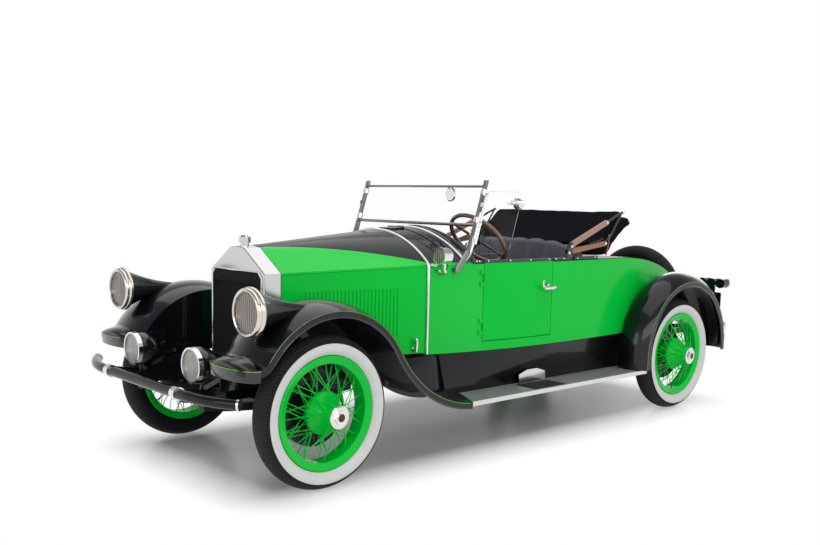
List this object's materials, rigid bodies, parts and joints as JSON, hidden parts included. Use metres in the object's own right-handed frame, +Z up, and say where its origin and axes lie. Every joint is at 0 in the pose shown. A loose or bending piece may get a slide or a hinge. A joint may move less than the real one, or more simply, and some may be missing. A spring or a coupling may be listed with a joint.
{
  "type": "roadster",
  "caption": "Open roadster of the 1920s with wire wheels, headlamps grown out of the front fenders, opening doors, hood and deck lid, folded top and rear spare.",
  "frame": {"origin": "on the floor under the middle of the bounding box", "axes": "+X towards the nose, +Y towards the car's left side, +Z up"},
  "size_m": [4.88, 1.8326, 1.6779],
  "materials": {
    "green_paint": "gloss",
    "black_paint": "gloss",
    "bright_metal": "polished",
    "lamp_glass": "fluted",
    "clear_glass": "clear",
    "tyre": "black with white walls",
    "leather": "pleated",
    "fabric": "weave",
    "wood": "varnished",
    "iron": "rough",
    "steel": "satin"
  },
  "bodies": {
    "chassis": {"bumper_fittings": "bright_metal", "cowl": "green_paint", "cowl_lamps": "bright_metal", "dashboard": "wood", "driving_lamps": "bright_metal", "engine": "iron", "exhaust": "steel", "floor": "wood", "folded_top": "fabric", "frame": "black_paint", "front_axle": "black_paint", "front_bumper": "black_paint", "front_fender_left": "black_paint", "front_fender_right": "black_paint", "fuel_tank": "black_paint", "glass": "clear_glass", "headlamp_rims": "bright_metal", "hood_rod": "bright_metal", "lamp_lenses": "lamp_glass", "leaf_springs": "steel", "radiator_core": "steel", "radiator_shell": "bright_metal", "rear_axle": "black_paint", "rear_body": "green_paint", "rear_bumper": "black_paint", "rear_fender_left": "black_paint", "rear_fender_right": "black_paint", "running_boards": "black_paint", "seat_back": "leather", "seat_cushion": "leather", "spare_carrier": "black_paint", "spare_tyre": "tyre", "spare_wheel": "green_paint", "splash_aprons": "black_paint", "steering_column": "black_paint", "tail_lamps": "black_paint", "top_bows": "wood", "windscreen_frame": "bright_metal"},
    "wheel_front_left": {"tyre_front_left": "tyre", "wheel_front_left": "green_paint"},
    "wheel_front_right": {"tyre_front_right": "tyre", "wheel_front_right": "green_paint"},
    "wheel_rear_left": {"tyre_rear_left": "tyre", "wheel_rear_left": "green_paint"},
    "wheel_rear_right": {"tyre_rear_right": "tyre", "wheel_rear_right": "green_paint"},
    "knuckle_left": {"knuckle_left": "black_paint"},
    "knuckle_right": {"knuckle_right": "black_paint"},
    "tie_rod": {"tie_rod": "steel"},
    "steering_wheel": {"steering_wheel": "wood"},
    "hood_top_left": {"hood_top_left": "green_paint"},
    "hood_top_right": {"hood_top_right": "green_paint"},
    "hood_side_left": {"hood_side_left": "green_paint"},
    "hood_side_right": {"hood_side_right": "green_paint"},
    "door_left": {"door_left": "green_paint"},
    "door_right": {"door_right": "green_paint"},
    "deck_lid": {"deck_lid": "black_paint"}
  },
  "joints": [
    {"name": "front_left_roll", "type": "hinge", "parent": "knuckle_left", "child": "wheel_front_left", "pos_m": [1.74, 0.74, 0.419], "axis": [0, 1, 0], "continuous": true},
    {"name": "front_right_roll", "type": "hinge", "parent": "knuckle_right", "child": "wheel_front_right", "pos_m": [1.74, -0.74, 0.419], "axis": [0, 1, 0], "continuous": true},
    {"name": "rear_left_roll", "type": "hinge", "parent": "chassis", "child": "wheel_rear_left", "pos_m": [-1.64, 0.74, 0.419], "axis": [0, 1, 0], "continuous": true},
    {"name": "rear_right_roll", "type": "hinge", "parent": "chassis", "child": "wheel_rear_right", "pos_m": [-1.64, -0.74, 0.419], "axis": [0, 1, 0], "continuous": true},
    {"name": "steer_left", "type": "hinge", "parent": "chassis", "child": "knuckle_left", "pos_m": [1.74, 0.59, 0.419], "axis": [0, 0, 1], "range_deg": [-30, 30]},
    {"name": "steer_right", "type": "hinge", "parent": "chassis", "child": "knuckle_right", "pos_m": [1.74, -0.59, 0.419], "axis": [0, 0, 1], "range_deg": [-30, 30]},
    {"name": "tie_rod_pin", "type": "hinge", "parent": "knuckle_left", "child": "tie_rod", "pos_m": [1.57, 0.59, 0.343], "axis": [0, 0, 1], "range_deg": [-30, 30]},
    {"name": "steering_wheel_turn", "type": "hinge", "parent": "chassis", "child": "steering_wheel", "pos_m": [0.13, 0.33, 1.3], "axis": [-0.7431, 0, 0.6691], "range_deg": [-360, 360]},
    {"name": "hood_left_open", "type": "hinge", "parent": "chassis", "child": "hood_top_left", "pos_m": [1.2, 0, 1.308], "axis": [0.996, 0, -0.0897], "range_deg": [0, 45]},
    {"name": "hood_right_open", "type": "hinge", "parent": "chassis", "child": "hood_top_right", "pos_m": [1.2, 0, 1.308], "axis": [-0.996, 0, 0.0897], "range_deg": [0, 45]},
    {"name": "hood_side_left_fold", "type": "hinge", "parent": "hood_top_left", "child": "hood_side_left", "pos_m": [1.684, 0.282, 1.116], "axis": [-0.9737, 0.2255, 0.0337], "range_deg": [0, 45]},
    {"name": "hood_side_right_fold", "type": "hinge", "parent": "hood_top_right", "child": "hood_side_right", "pos_m": [1.684, -0.282, 1.116], "axis": [0.9737, 0.2255, -0.0337], "range_deg": [0, 45]},
    {"name": "door_left_open", "type": "hinge", "parent": "chassis", "child": "door_left", "pos_m": [0.3395, 0.59794, 0.9], "axis": [0, 0, -1], "range_deg": [0, 70]},
    {"name": "door_right_open", "type": "hinge", "parent": "chassis", "child": "door_right", "pos_m": [0.3395, -0.59794, 0.9], "axis": [0, 0, 1], "range_deg": [0, 70]},
    {"name": "deck_lid_open", "type": "hinge", "parent": "chassis", "child": "deck_lid", "pos_m": [-1.8525, 0, 1.06257], "axis": [0, -1, 0], "range_deg": [0, 100]}
  ],
  "couplings": [
    {"joint": "steer_right", "follows": "steer_left", "ratio": 1},
    {"joint": "tie_rod_pin", "follows": "steer_left", "ratio": -1},
    {"joint": "steering_wheel_turn", "follows": "steer_left", "ratio": 12},
    {"joint": "hood_side_left_fold", "follows": "hood_left_open", "ratio": 0.9},
    {"joint": "hood_side_right_fold", "follows": "hood_right_open", "ratio": 0.9}
  ]
}
